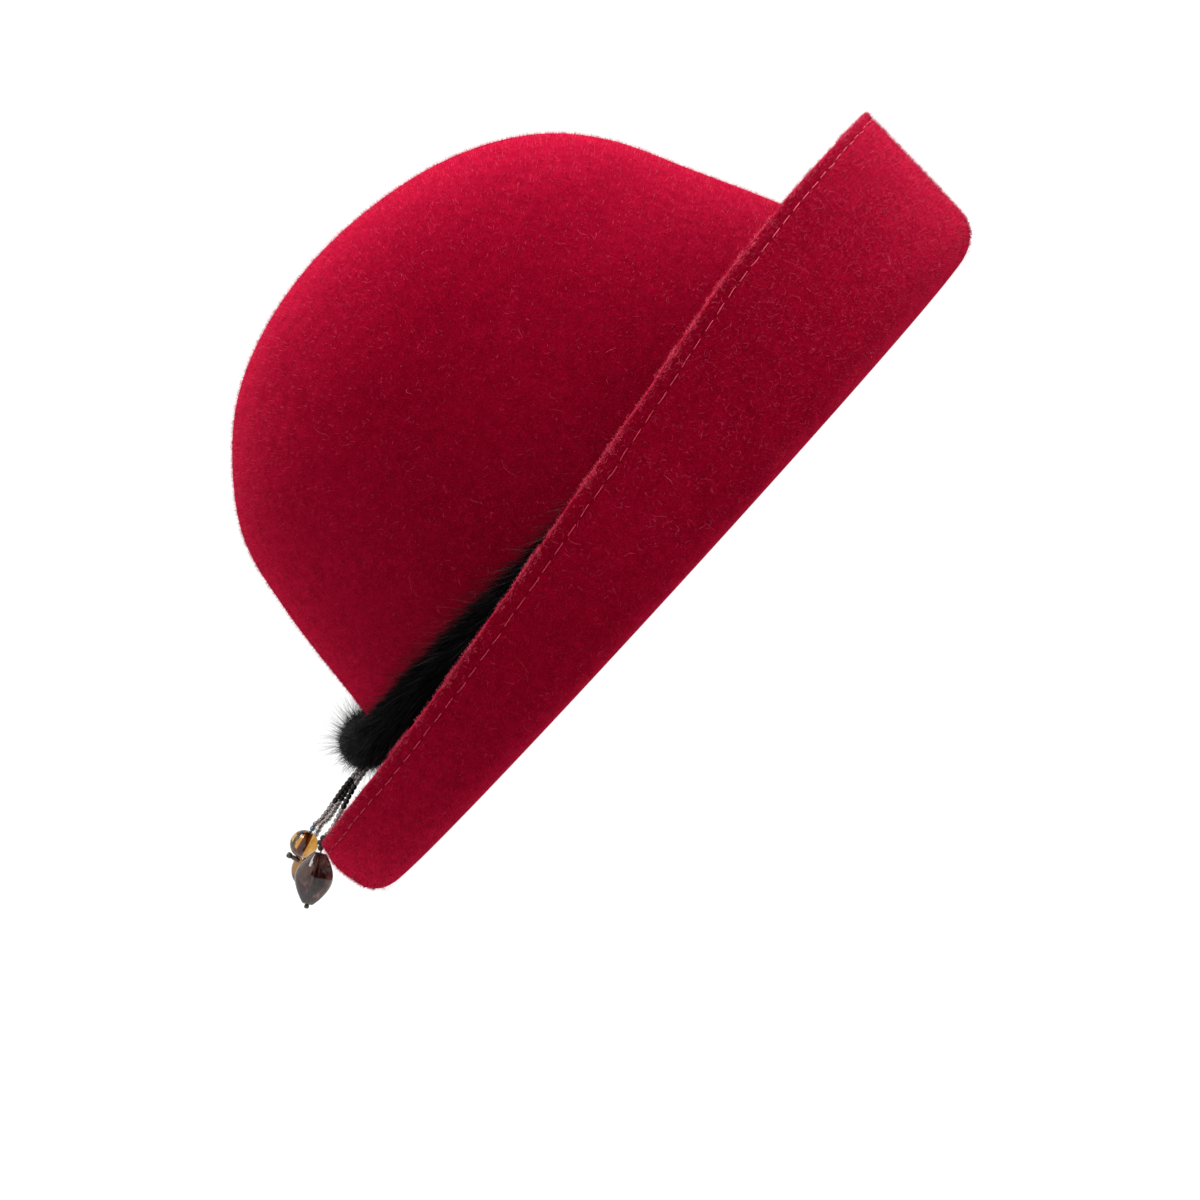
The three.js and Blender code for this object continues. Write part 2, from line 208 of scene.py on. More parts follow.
def brim_section(bearing):
    """Points round the cut felt of the brim at a bearing.
    Each has its share of the way from the top edge down to the seam."""
    bend = brim_value(BRIM_BENDS, bearing)
    edge, climb, outward = brim_wall(bearing)
    out = oval_outward(FOLD, bearing)
    turn_end = atan2(climb.z, climb.dot(out))
    floor_end = oval_point(FOLD, bearing) - out * bend
    foot = CROWN_LEVELS[0]
    opening = oval_point(foot, bearing) - oval_outward(foot, bearing) * FELT
    lip = FELT / 2
    seam = brim_value(BRIM_SEAMS, bearing)
    faces = []
    for depth in (0, FELT):
        face = []
        for i in range(FLOOR_STEPS):
            spot = opening.lerp(floor_end, i / FLOOR_STEPS)
            face.append((Vector((spot.x, spot.y, depth)), FAR_BELOW))
        for i in range(BEND_STEPS + 1):
            turn = turn_end * i / BEND_STEPS
            spot = floor_end + out * (bend - depth) * sin(turn)
            spot.z = bend - (bend - depth) * cos(turn)
            face.append((spot, FAR_BELOW))
        wall_foot = face[-1][0]
        top = edge - outward * depth
        reach = (top - wall_foot).length
        face[-1] = (wall_foot, reach / seam)
        low = top - climb * seam * EDGE_SHARES[0]
        for share in WALL_SHARES:
            spot = wall_foot.lerp(low, share)
            below = (top - spot).length
            face.append((spot + brim_swell(bearing, below), below / seam))
        for share in EDGE_SHARES:
            below = seam * share
            pull = STITCH["groove"] * exp(-(((below - seam) / STITCH["groove_width"]) ** 2))
            inward = -outward if depth == 0 else outward
            spot = top - climb * max(below, LIP_ROUND) + inward * pull
            face.append((spot + brim_swell(bearing, below), share))
        faces.append(face)
    outer, inner = faces
    middle = edge - outward * lip - climb * LIP_ROUND
    round_over = []
    for i in range(1, LIP_STEPS):
        turn = pi * i / LIP_STEPS
        spot = middle + outward * lip * cos(turn) + climb * LIP_ROUND * sin(turn)
        round_over.append((spot, 0))
    return outer + round_over + inner[::-1]


def wobble(spot, size, amount, seed):
    """A slow unevenness, between -amount and amount, over spots about size apart."""
    phase = np.array([0.0, 2.1, 4.2]) + seed
    waves = np.sin(spot[0] / size + phase[0]) + np.sin(spot[1] / size * 1.3 + phase[1])
    return amount * (waves + np.sin(spot[2] / size * 1.7 + phase[2])) / 3


# Materials

class Value:
    """One output of a node. Sums and products of values are written as plain expressions."""

    def __init__(self, finish, socket):
        self.finish, self.socket = finish, socket

    def maths(self, operation, *terms):
        return self.finish.node("ShaderNodeMath", dict(operation=operation), dict(enumerate(terms)))

    def __add__(self, other):
        return self.maths("ADD", self, other)

    def __rsub__(self, other):
        return self.maths("SUBTRACT", other, self)

    def __mul__(self, other):
        return self.maths("MULTIPLY", self, other)

    def __pow__(self, other):
        return self.maths("POWER", self, other)

    __radd__, __rmul__ = __add__, __mul__


class Finish:
    """A material with one Principled shader, whose nodes are made by expressions."""

    def __init__(self, name, **constants):
        self.material = bpy.data.materials.new(name)
        self.material.use_nodes = True
        self.tree = self.material.node_tree
        self.shader = self.tree.nodes["Principled BSDF"]
        for socket, value in constants.items():
            self.feed(self.shader.inputs[socket.replace("_", " ")], value)

    def feed(self, socket, value):
        if isinstance(value, Value):
            self.tree.links.new(value.socket, socket)
        elif value is not None:
            plain = isinstance(value, (int, float, bool))
            short = not plain and socket.type == "RGBA" and len(value) == 3
            socket.default_value = value if plain else (*value, 1) if short else tuple(value)

    def node(self, kind, settings=None, sockets=None, give=0):
        made = self.tree.nodes.new(kind)
        for name, value in (settings or {}).items():
            if name == "stops":
                ramp = made.color_ramp.elements
                while len(ramp) < len(value):
                    ramp.new(1)
                for stop, (place, colour) in zip(ramp, value):
                    stop.position, stop.color = place, (*colour, 1)
            else:
                setattr(made, name, value)
        for key, value in (sockets or {}).items():
            self.feed(made.inputs[key], value)
        return Value(self, made.outputs[give])

    def place(self, stretch=None):
        """Object coordinates in millimetres, or in other units along each axis."""
        here = self.node("ShaderNodeTexCoord", give="Object")
        sockets = dict(Vector=here, Scale=stretch or (1 / MM,) * 3)
        return self.node("ShaderNodeMapping", sockets=sockets)

    def noise(self, size, detail=2, distortion=0, stretch=None):
        """Cloudy values from 0 to 1, in patches of about this many millimetres."""
        sockets = dict(Vector=self.place(stretch), Scale=1 / size)
        sockets.update(Detail=detail, Distortion=distortion)
        return self.node("ShaderNodeTexNoise", sockets=sockets)

    def between(self, value, low, high):
        """0 up to low and 1 from high on."""
        sockets = {"Value": value, "From Min": low, "From Max": high}
        return self.node("ShaderNodeMapRange", dict(interpolation_type="SMOOTHSTEP"), sockets)

    def blend(self, share, first, second, way="MIX"):
        settings = dict(data_type="RGBA", blend_type=way)
        return self.node("ShaderNodeMix", settings, {0: share, 6: first, 7: second}, give=2)

    def ramp(self, value, stops):
        return self.node("ShaderNodeValToRGB", dict(stops=stops), {0: value})

    def colour(self, value):
        self.feed(self.shader.inputs["Base Color"], value)
        return self

    def rough(self, value):
        self.feed(self.shader.inputs["Roughness"], value)
        return self

    def mottled(self, noise, stops, rough, rougher):
        """Colour and roughness that both follow one noise."""
        return self.colour(self.ramp(noise, stops)).rough(rough + rougher * noise)

    def bump(self, height, distance):
        sockets = dict(Height=height, Distance=distance * MM, Strength=1.0)
        self.feed(self.shader.inputs["Normal"], self.node("ShaderNodeBump", sockets=sockets))
        return self


FELT_DEEP = (0.093, 0.0003, 0.005)
FELT_RED = (0.136, 0.0005, 0.0076)
FELT_BRIGHT = (0.2, 0.0016, 0.0135)
# painted sheen: the colours the felt is lightened towards at grazing angles, standing in for the
# nap catching the light
FELT_SHEEN_PAINT_DEEP, FELT_SHEEN_PAINT = (0.3, 0.0022, 0.02), (0.62, 0.011, 0.054)
FELT_CUT = (0.36, 0.03, 0.055)
FELT_FLECK = (0.5, 0.085, 0.11)
# FLECK_SHARE is for the flecks; the other two set how strongly and how sharply the painted sheen
# comes in at grazing angles
FLECK_SHARE, SHEEN_PAINT_SHARE, SHEEN_PAINT_POWER = 0.4, 0.85, 1.6
# on the brim, by the share of the way from the edge to the seam
STRIP_SHADE, STRIP_SHARE, STRIP_ENDS = (0.72, 0.68, 0.68), 0.3, (0.8, 1.1)
# painted shade in the stitch groove: the felt is darkened towards FELT_DEEP between these
SEAM_SHADE_SHARE, SEAM_SHADE_STARTS, SEAM_SHADE_ENDS = 0.45, (0.84, 0.97), (1.03, 1.2)
CUT_ENDS = (0.01, 0.19)
# the stitches grow paler between these, by how far forward they lie: a painted sheen, where the
# thread catches more light
THREAD_SHEEN_FORWARD = (30, 115)


def felt_finish(name, coarse, edged):
    """Napped wool felt: fine crossing fibres over soft mottling, with a painted sheen that lightens
    its colour at grazing angles.
    coarse is the size of the fibre patches, and edged adds painted shade along the brim's seam,
    where the stitches sink into a groove, and its cut edge."""
    felt = Finish(
        name, Specular_IOR_Level=0.0, Sheen_Weight=0.2, Sheen_Roughness=0.25,
        Sheen_Tint=(1.0, 0.06, 0.14),
    )
    fibres = felt.noise(0.8 * coarse, detail=4, distortion=1.8)
    threads = felt.noise(0.5 * coarse, distortion=3.0, stretch=(1600, 700, 1000))
    mottle = felt.noise(3.4 * coarse, detail=3, distortion=0.6)
    clouds = felt.noise(34, detail=1)
    tone = fibres * 0.46 + threads * 0.28 + mottle * 0.18 + clouds * 0.08
    red = felt.ramp(tone, [(0.38, FELT_DEEP), (0.5, FELT_RED), (0.64, FELT_BRIGHT)])
    flecks = felt.between(felt.noise(1.1, detail=3, distortion=2.4), 0.7, 0.8)
    red = felt.blend(flecks * FLECK_SHARE, red, FELT_FLECK)
    height = fibres * 0.55 + threads * 0.35 + mottle * 0.3
    # painted sheen: the base colour is lightened by how grazing the view of the felt is
    grazing = felt.node("ShaderNodeLayerWeight", sockets=dict(Blend=0.5), give="Facing")
    painted_sheen = felt.ramp(tone, [(0.4, FELT_SHEEN_PAINT_DEEP), (0.62, FELT_SHEEN_PAINT)])
    red = felt.blend(grazing**SHEEN_PAINT_POWER * SHEEN_PAINT_SHARE, red, painted_sheen)
    if edged:
        below = felt.node("ShaderNodeAttribute", dict(attribute_name="below_edge"), give="Fac")
        strip = (1 - felt.between(below, *STRIP_ENDS)) * STRIP_SHARE
        shaded = felt.blend(1.0, red, STRIP_SHADE, way="MULTIPLY")
        red = felt.blend(strip, red, shaded)
        # painted shade along the seam's groove, where the stitches sink into the felt
        seam = felt.between(below, *SEAM_SHADE_STARTS) * (1 - felt.between(below, *SEAM_SHADE_ENDS))
        red = felt.blend(seam * SEAM_SHADE_SHARE, red, FELT_DEEP)
        ragged = felt.between(threads + fibres + felt.noise(2.6), 1.35, 2.0)
        cut = (1 - felt.between(below, *CUT_ENDS)) * ragged
        red = felt.blend(cut, red, FELT_CUT)
    return felt.colour(red).rough(0.84 + 0.12 * fibres).bump(height, 0.4)


HAIR_MAP = "OFBake"


def strand_finish(name, root, tip, spread, **constants):
    """Hairs coloured from root to tip, each a little lighter or darker.
    Both come from the map that each hair carries."""
    hair = Finish(name, **constants)
    split = dict(Vector=hair.node("ShaderNodeUVMap", dict(uv_map=HAIR_MAP)))
    tone = hair.node("ShaderNodeSeparateXYZ", sockets=split, give="X")
    share = hair.node("ShaderNodeSeparateXYZ", sockets=split, give="Y")
    shade = hair.blend(hair.between(share, 0.0, 1.0), root, tip)
    light = 1 - spread + 2 * spread * tone
    grey = hair.node("ShaderNodeCombineXYZ", sockets={i: light for i in range(3)})
    return hair.colour(hair.blend(1.0, shade, grey, way="MULTIPLY"))


def thread_finish(name, pale, dark, front=None):
    """Twisted thread. front is its colour at the front of the hat, where it is paler: a painted
    sheen for the thread catching more light there.
    """
    thread = Finish(name, Specular_IOR_Level=0.1)
    twist = thread.noise(0.35, distortion=0.5)
    colour = thread.ramp(twist, [(0.35, dark), (0.65, pale)])
    if front:
        here = dict(Vector=thread.place())
        forward = thread.node("ShaderNodeSeparateXYZ", sockets=here, give="X")
        # painted sheen: the thread paler towards the front
        colour = thread.blend(thread.between(forward, *THREAD_SHEEN_FORWARD), colour, front)
    return thread.colour(colour).rough(0.6 + 0.25 * twist).bump(twist, 0.1)


def glass_finish(name, deep, clear, patch, rough=0.04, through=1.0, between=None):
    """Coloured glass with slow streaks in it, from deep to clear and through a colour between."""
    stops = [(0.35, deep), (0.65, clear)]
    if between:
        stops.insert(1, (0.5, between))
    glass = Finish(name, Transmission_Weight=through, IOR=1.5)
    streaks = glass.noise(patch, distortion=1.2)
    glass.colour(glass.ramp(streaks, stops))
    return glass.rough(rough + 0.05 * glass.noise(patch * 0.4, detail=1))


# Pieces

def add_object(name, data):
    holder = bpy.data.objects.new(name, data)
    bpy.context.scene.collection.objects.link(holder)
    return holder


def mesh_of(name, bm):
    mesh = bpy.data.meshes.new(name)
    bm.to_mesh(mesh)
    bm.free()
    return mesh


def keep_mesh(name, mesh, finishes, slot, replaced=None, smooth=True):
    for finish in finishes:
        mesh.materials.append(finish.material)
    if smooth:
        mesh.shade_smooth()
    piece = add_object(name, mesh)
    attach(piece, "root")
    if replaced:
        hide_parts(replaced)
    return piece


def finished(name, bm, *rest, **options):
    return keep_mesh(name, mesh_of(name, bm), *rest, **options)


def spin(bm, line, closed, steps):
    """A line of points, joined and spun once about the up axis."""
    edges = [bm.edges.new(pair) for pair in zip(line, line[1:] + line[:1] * closed)]
    bmesh.ops.spin(
        bm, geom=line + edges, cent=(0, 0, 0), axis=UP, dvec=(0, 0, 0),
        angle=2 * pi, steps=steps, use_merge=True, use_duplicate=False,
    )


def spun(stations, columns, closed, place, attribute=None):
    """A line of stations spun round, and each point then laid by its bearing and station."""
    bm = bmesh.new()
    spin(bm, [bm.verts.new((1, 0, s)) for s in range(stations)], closed, columns)
    layer = bm.verts.layers.float.new(attribute) if attribute else None
    laid = {}
    for v in bm.verts:
        column = round(degrees(atan2(v.co.y, v.co.x)) * columns / 360) % columns
        if column not in laid:
            laid[column] = place(column * 360 / columns)
        spot, value = laid[column][round(v.co.z)]
        v.co = to_row(spot)
        if layer:
            v[layer] = value
    bmesh.ops.remove_doubles(bm, verts=bm.verts, dist=1e-7)
    bmesh.ops.recalc_face_normals(bm, faces=bm.faces)
    return bm


def crown_arch(bearing):
    """The crown's felt at a bearing, from the top down the inside and up the outside."""
    inside, outside = [], []
    for i in range(CROWN_RINGS + 1):
        rise = i / CROWN_RINGS
        outward = oval_outward(CROWN_LEVELS[0], bearing) if i == 0 else crown_outward(bearing, rise)
        spot = crown_point(bearing, rise)
        dent = wobble(spot, **DENTS) * min(1, 4 * rise * (1 - rise) + 0.2)
        inside.append((spot - outward * (FELT - dent), 0))
        outside.append((spot + outward * dent, 0))
    return inside[::-1] + outside


def brim_round(bearing):
    """The brim's section at a bearing, uneven up the wall and ragged along the edge."""
    outward = oval_outward(FOLD, bearing)
    laid = []
    for spot, below in brim_section(bearing):
        free = min(1, max(0, spot.z - WAVES_FROM) / WAVES_OVER)
        uneven = wobble((spot.x, spot.y, 0), **WAVES) * free
        ragged = wobble((spot.x, spot.y, 0), **RAGGED) * max(0, 1 - below / RAGGED_DOWN)
        laid.append((spot + outward * uneven + UP * ragged, below))
    return laid


crown_felt = felt_finish("crown felt", 1.0, edged=False)
brim_felt = felt_finish("brim felt", 1.15, edged=True)
crown_shape = spun(2 * CROWN_RINGS + 2, CROWN_COLUMNS, False, crown_arch)
crown = finished("crown_felt", crown_shape, [crown_felt], "felt", replaced="crown")
brim_shape = spun(len(brim_section(0)), BRIM_COLUMNS, True, brim_round, "below_edge")
brim = finished("brim_felt", brim_shape, [brim_felt], "felt", replaced="brim")


# Nap and hairs: flat strips that taper to a point, many in one mesh

HAIR_TAPER, HAIR_TURNS = 0.6, 3
TONE_STEP = 0.004
SHADING_RUN = 0.35
LIGHT_WAY = np.array([0.6, -0.4, 0.7])
NAP_LEAN = [0.25, 0.0, -0.35]
NAP_SINK, NAP_CLEAR, STRAY_CLEAR = 0.05, 0.15, 0.3
STRAY_WAVES, STRAY_ARCH, STRAY_LIFT = (2, 7), 2.2, 0.2


def from_lowest(corners):
    """A face's corners from the lowest one on, because a spin may start a face at any of them."""
    corners = list(corners)
    first = corners.index(min(corners))
    return corners[first:] + corners[:first]


def vectors_of(items, field):
    flat = np.empty(len(items) * 3)
    items.foreach_get(field, flat)
    return flat.reshape(-1, 3)


def unit(vectors):
    return vectors / np.maximum(np.linalg.norm(vectors, axis=-1), 1e-12)[..., None]


def swung(first, second, angle):
    """Ways turned by angles from the first towards the second."""
    return first * np.cos(angle)[:, None] + second * np.sin(angle)[:, None]


def spread_over(piece, count, rng, weigh):
    """Random spots on a piece's faces, with the surface's normal there.
    weigh gives each face's share, by its middle, its normal and its way down from the edge."""
    mesh = piece.data
    rounds = sorted(from_lowest(face.vertices) for face in mesh.polygons)
    corners = np.array([(r[0], r[k], r[k + 1]) for r in rounds for k in range(1, len(r) - 1)])
    points = vectors_of(mesh.vertices, "co")
    normals = vectors_of(mesh.vertex_normals, "vector")
    below = np.zeros(len(points))
    if "below_edge" in mesh.attributes:
        mesh.attributes["below_edge"].data.foreach_get("value", below)
    a, b, c = (points[corners[:, k]] for k in range(3))
    area = np.linalg.norm(np.cross(b - a, c - a), axis=1) / 2
    middle = (a + b + c) / 3 / MM
    area *= weigh(middle, normals[corners].mean(axis=1), below[corners].mean(axis=1))
    chosen = rng.choice(len(area), count, p=area / area.sum())
    first, second = rng.random((2, count))
    over = first + second > 1
    first = np.where(over, 1 - first, first)
    second = np.where(over, 1 - second, second)
    shares = np.stack([1 - first - second, first, second], 1)[:, :, None]
    spots = (points[corners[chosen]] * shares).sum(axis=1)
    facing = (normals[corners[chosen]] * shares).sum(axis=1)
    return spots, unit(facing)


def hairs(name, lines, width, tones, finish, slot, facing=None, glow=0.0):
    """One mesh of strips along lines, an array of hairs by steps by x, y and z.
    facing gives each hair's shading, turned by glow towards the light that comes through it."""
    count, steps = lines.shape[:2]
    run = unit(lines[:, -1] - lines[:, 0])
    ahead = facing
    if facing is None:
        ahead = unit(np.random.default_rng(HAIR_TURNS).normal(size=(count, 3)))
    side = unit(np.cross(ahead, run))
    narrow = 1 - HAIR_TAPER * np.linspace(0, 1, steps)[None, :-1, None]
    reach = side[:, None] * (width * MM) / 2 * narrow
    rows = np.stack([lines[:, :-1] - reach, lines[:, :-1] + reach], 2)
    points = np.concatenate([rows.reshape(count, -1, 3), lines[:, -1:]], 1)
    each = points.shape[1]
    strip = []
    for k in range(steps - 2):
        strip += [(2 * k, 2 * k + 1, 2 * k + 3), (2 * k, 2 * k + 3, 2 * k + 2)]
    strip.append((each - 3, each - 2, each - 1))
    faces = (np.array(strip)[None] + each * np.arange(count)[:, None, None]).reshape(-1, 3)
    corner = points.reshape(-1, 3)[faces[:: len(strip)]]
    turned = np.cross(corner[:, 1] - corner[:, 0], corner[:, 2] - corner[:, 0])
    flip = np.repeat((turned * ahead).sum(axis=1) < 0, len(strip))
    faces[flip] = faces[flip][:, ::-1]
    mesh = bpy.data.meshes.new(name)
    mesh.from_pydata(points.reshape(-1, 3).tolist(), [], faces.tolist())
    along = np.append(np.repeat(np.linspace(0, 1, steps)[:-1], 2), 1.0)
    across = np.append(np.tile([-TONE_STEP, TONE_STEP], steps - 1), 0.0)
    tone = np.clip(tones[:, None] + across[None], 0, 1)
    own = np.stack([tone, np.repeat(along[None], count, 0)], 2).reshape(-1, 2)
    layer = mesh.uv_layers.new(name=HAIR_MAP)
    layer.data.foreach_set("uv", own[faces.ravel()].ravel())
    mesh.shade_smooth()
    if facing is not None:
        shading = unit(facing + SHADING_RUN * run + glow * LIGHT_WAY)
        shading = np.repeat(shading, each, axis=0)
        mesh.normals_split_custom_set_from_vertices(shading.tolist())
    keep_mesh(name, mesh, [finish], slot, smooth=False)


def nap(name, piece, count, finish, weigh, lengths, width, lift, seed, glow=0.0):
    """Short fibres standing out of the felt, leaning this way and that."""
    rng = np.random.default_rng(seed)
    spots, facing = spread_over(piece, count, rng, weigh)
    lean = rng.normal(size=(count, 3)) + NAP_LEAN
    lean = unit(lean - (lean * facing).sum(axis=1)[:, None] * facing)
    run = swung(lean, facing, np.radians(rng.uniform(*lift, count)))
    length = rng.uniform(*lengths, count)[:, None] * MM
    roots = spots - facing * NAP_SINK * MM
    tips = roots + run * length
    tips[:, 2] = np.maximum(tips[:, 2], NAP_CLEAR * MM)
    lines = np.stack([roots, tips], 1)
    hairs(name, lines, width, rng.random(count), finish, "felt", facing, glow)


# light comes through the finest fibres, and the others are matt
MATT = dict(Roughness=1.0, Specular_IOR_Level=0.0)
THROUGH = dict(Transmission_Weight=0.5, IOR=1.01, **MATT)
MORE_THROUGH = dict(THROUGH, Transmission_Weight=0.85)
nap_finish = strand_finish("felt nap", (0.18, 0.0008, 0.01), (0.47, 0.006, 0.042), 0.36, **THROUGH)
cut_nap_finish = strand_finish(
    "cut edge nap", (0.34, 0.016, 0.04), (0.66, 0.085, 0.14), 0.5, **MATT,
)
fringe_finish = strand_finish(
    "felt fringe", (0.6, 0.02, 0.055), (0.94, 0.17, 0.23), 0.1, **MORE_THROUGH,
)
MIDDLE = np.array([SHIFT, 0, 45.0])
UNDERSIDE, UNDERSIDE_FACING, CUT_EDGE = 1.2, -0.5, 0.08
LOW, LOW_SHARE = 3, 0.4
TUFTS = [(0.5, 23, 0), (0.5, 61, 1), (0.4, 97, 2)]
TUFTS_DOWN, TUFTS_ABOVE, TUFTS_LEAST = 0.3, 8, 0.15
FRONT_FROM, FRONT_OVER, FRONT_LEAST = -90, 200, 0.3


def outer_only(spots, facing, below):
    return ((spots - MIDDLE) * facing).sum(axis=1) > 0


def clear_of_floor(spots, facing, below):
    """Off the face that stands on the floor and off the cut edge, and fewer low down."""
    height = spots[:, 2]
    underside = (height < UNDERSIDE) & (facing[:, 2] < UNDERSIDE_FACING)
    return ~underside * (below > CUT_EDGE) * np.where(height < LOW, LOW_SHARE, 1)


def cut_edge(spots, facing, below):
    """Along the brim's cut edge, in tufts."""
    turn = np.arctan2(spots[:, 1], spots[:, 0] - SHIFT)
    tufts = sum((size * np.sin(turn * waves + shift) for size, waves, shift in TUFTS), 1)
    return (below < TUFTS_DOWN) * (spots[:, 2] > TUFTS_ABOVE) * np.maximum(tufts, TUFTS_LEAST)


def more_in_front(spots, facing, below):
    forward = np.clip((spots[:, 0] - FRONT_FROM) / FRONT_OVER, FRONT_LEAST, 1)
    return clear_of_floor(spots, facing, below) * forward**2


nap(
    "crown_nap", crown, 115000, nap_finish, outer_only,
    lengths=(0.6, 1.7), width=0.085, lift=(12, 62), seed=11,
)
nap(
    "brim_nap", brim, 120000, nap_finish, clear_of_floor,
    lengths=(0.6, 1.8), width=0.09, lift=(12, 66), seed=12,
)
nap(
    "brim_edge_nap", brim, 26000, cut_nap_finish, cut_edge,
    lengths=(0.3, 1.15), width=0.085, lift=(8, 75), seed=13,
)
nap(
    "crown_fringe", crown, 36000, fringe_finish, outer_only,
    lengths=(0.9, 2.3), width=0.055, lift=(45, 88), seed=14, glow=1.6,
)
nap(
    "brim_fringe", brim, 40000, fringe_finish, clear_of_floor,
    lengths=(0.9, 2.4), width=0.055, lift=(45, 88), seed=15, glow=1.6,
)


def strays(name, pieces, finish, lengths, width, bend, wave, height, seed, steps=9):
    """Fibres lying loose on the felt, each bent and waving, and arched up to a height."""
    rng = np.random.default_rng(seed)
    lines, outward = [], []
    t = np.linspace(0, 1, steps)[:, None]
    for piece, count, weigh in pieces:
        for spot, out in zip(*spread_over(piece, count, rng, weigh)):
            run = unit(np.cross(out, rng.normal(size=3)))
            across = np.cross(out, run)
            length = rng.uniform(*lengths) * MM
            heading = rng.normal(0, bend) * t
            heading = heading + rng.uniform(0, wave) * np.sin(rng.uniform(*STRAY_WAVES) * t)
            ways = np.cos(heading) * run + np.sin(heading) * across
            walk = np.cumsum(ways, axis=0) * length / steps
            arch = np.abs(np.sin(STRAY_ARCH * t + rng.uniform(0, 3)))
            line = spot + walk + out * (STRAY_LIFT + height * arch) * MM
            line[:, 2] = np.maximum(line[:, 2], STRAY_CLEAR * MM)
            lines.append(line)
            outward.append(out)
    lines = np.array(lines)
    tones = rng.random(len(lines))
    hairs(name, lines, width, tones, finish, "felt", np.array(outward))


stray_finish = strand_finish("stray fibres", (0.4, 0.07, 0.085), (0.6, 0.2, 0.19), 0.5, **THROUGH)
curl_finish = strand_finish("felt curls", (0.28, 0.022, 0.05), (0.48, 0.065, 0.115), 0.5, **MATT)
fuzz_finish = strand_finish("felt fuzz", (0.2, 0.008, 0.03), (0.36, 0.034, 0.075), 0.5, **MATT)
strays(
    "felt_strays", [(crown, 40, outer_only), (brim, 90, clear_of_floor)], stray_finish,
    lengths=(2.5, 7.5), width=0.06, bend=1.7, wave=0.7, height=0.8, seed=21,
)
strays(
    "felt_curls", [(crown, 150, outer_only), (brim, 620, more_in_front)], curl_finish,
    lengths=(1.8, 5.2), width=0.075, bend=4.4, wave=1.8, height=0.6, seed=22,
)
strays(
    "felt_fuzz", [(crown, 6000, outer_only), (brim, 18000, more_in_front)], fuzz_finish,
    lengths=(0.9, 2.4), width=0.1, bend=2.0, wave=0.8, height=0.35, seed=23, steps=5,
)
strays(
    "edge_curls", [(brim, 2600, cut_edge)], cut_nap_finish,
    lengths=(0.8, 2.0), width=0.085, bend=3.4, wave=1.2, height=0.3, seed=24, steps=6,
)


# Stitching: one thread that runs along the outside, dips through the felt, and comes back

def tube_mesh(name, points, radius, cyclic, sides=6):
    curve = bpy.data.curves.new(name, "CURVE")
    curve.dimensions = "3D"
    curve.bevel_depth, curve.bevel_resolution = radius * MM, max(0, sides // 2 - 2)
    curve.use_fill_caps = not cyclic
    line = curve.splines.new("POLY")
    line.points.add(len(points) - 1)
    for spot, point in zip(line.points, points):
        spot.co = (*to_row(point), 1)
    line.use_cyclic_u = cyclic
    holder = add_object(name, curve)
    solid = holder.evaluated_get(bpy.context.evaluated_depsgraph_get())
    mesh = bpy.data.meshes.new_from_object(solid)
    bpy.data.objects.remove(holder)
    bpy.data.curves.remove(curve)
    mesh.name = name
    return mesh


STITCH_SPOTS, STITCH_SEED = 2880, 31
STITCH_SLIP, STITCH_UNEVEN = 0.16, 0.05
STITCH_SINK = 0.55
# along one stitch: the share of its length, and how far it stands out of the felt
STITCH_TURNS = [
    (0.0, -0.5), (0.02, 0.4), (0.06, 0.85), (0.14, 1.0), (0.3, 1.1), (0.5, 1.12), (0.7, 1.1),
    (0.86, 1.0), (0.94, 0.85), (0.98, 0.4),
]


def stitch_line():
    spots = []
    for i in range(STITCH_SPOTS):
        bearing = i * 360 / STITCH_SPOTS
        edge, climb, outward = brim_wall(bearing)
        uneven = wobble((edge.x, edge.y, 0), **WAVES)
        seam = brim_value(BRIM_SEAMS, bearing)
        spot = edge - climb * seam + brim_swell(bearing, seam)
        spots.append((spot + oval_outward(FOLD, bearing) * uneven, outward, climb))
    steps = [(b[0] - a[0]).length for a, b in zip(spots, spots[1:] + spots[:1])]
    around = np.concatenate([[0], np.cumsum(steps)])
    whole = STITCH["outside"] + STITCH["inside"]
    count = round(around[-1] / whole)
    pitch = around[-1] / count
    outside = STITCH["outside"] / whole
    proud, sunk = STITCH["thread"] * 0.6, STITCH["groove"] * 0.75
    high, low = proud - sunk, -FELT + sunk - proud
    rng = np.random.default_rng(STITCH_SEED)
    points = []
    for k in range(count):
        slip, longer = rng.normal(0, STITCH_SLIP), rng.normal(0, STITCH_UNEVEN)
        long = outside + longer
        course = [(share * long, level, True) for share, level in STITCH_TURNS]
        course += [(long + 0.02, -0.5, True), (long + 0.06, 1.0, False), (0.97, 1.0, False)]
        for share, level, front in course:
            place = ((k + share) * pitch) % around[-1]
            i = int(np.searchsorted(around, place, side="right") - 1) % STITCH_SPOTS
            spot, outward, climb = spots[i]
            ahead = spots[(i + 1) % STITCH_SPOTS][0]
            spot = spot.lerp(ahead, min(1, (place - around[i]) / steps[i]))
            depth = (high + (level - 1) * STITCH_SINK) if front else low
            points.append(spot + outward * depth + climb * (slip * sin(pi * share)))
    return points


# front is the stitches' paler colour at the hat's front, a painted sheen
stitch_finish = thread_finish(
    "stitching thread", (0.576, 0.055, 0.094), (0.317, 0.021, 0.041), front=(0.68, 0.095, 0.14),
)
stitching = tube_mesh("edge_stitching", stitch_line(), STITCH["thread"], True)
keep_mesh("edge_stitching", stitching, [stitch_finish], "felt")


# Fur: a dark roll under coats of hair

def off_crown(bearing, height, clear):
    """A point this far off the crown, at a bearing and height on it."""
    rise = crown_rise(bearing, height)
    return crown_point(bearing, rise) + crown_outward(bearing, rise) * clear


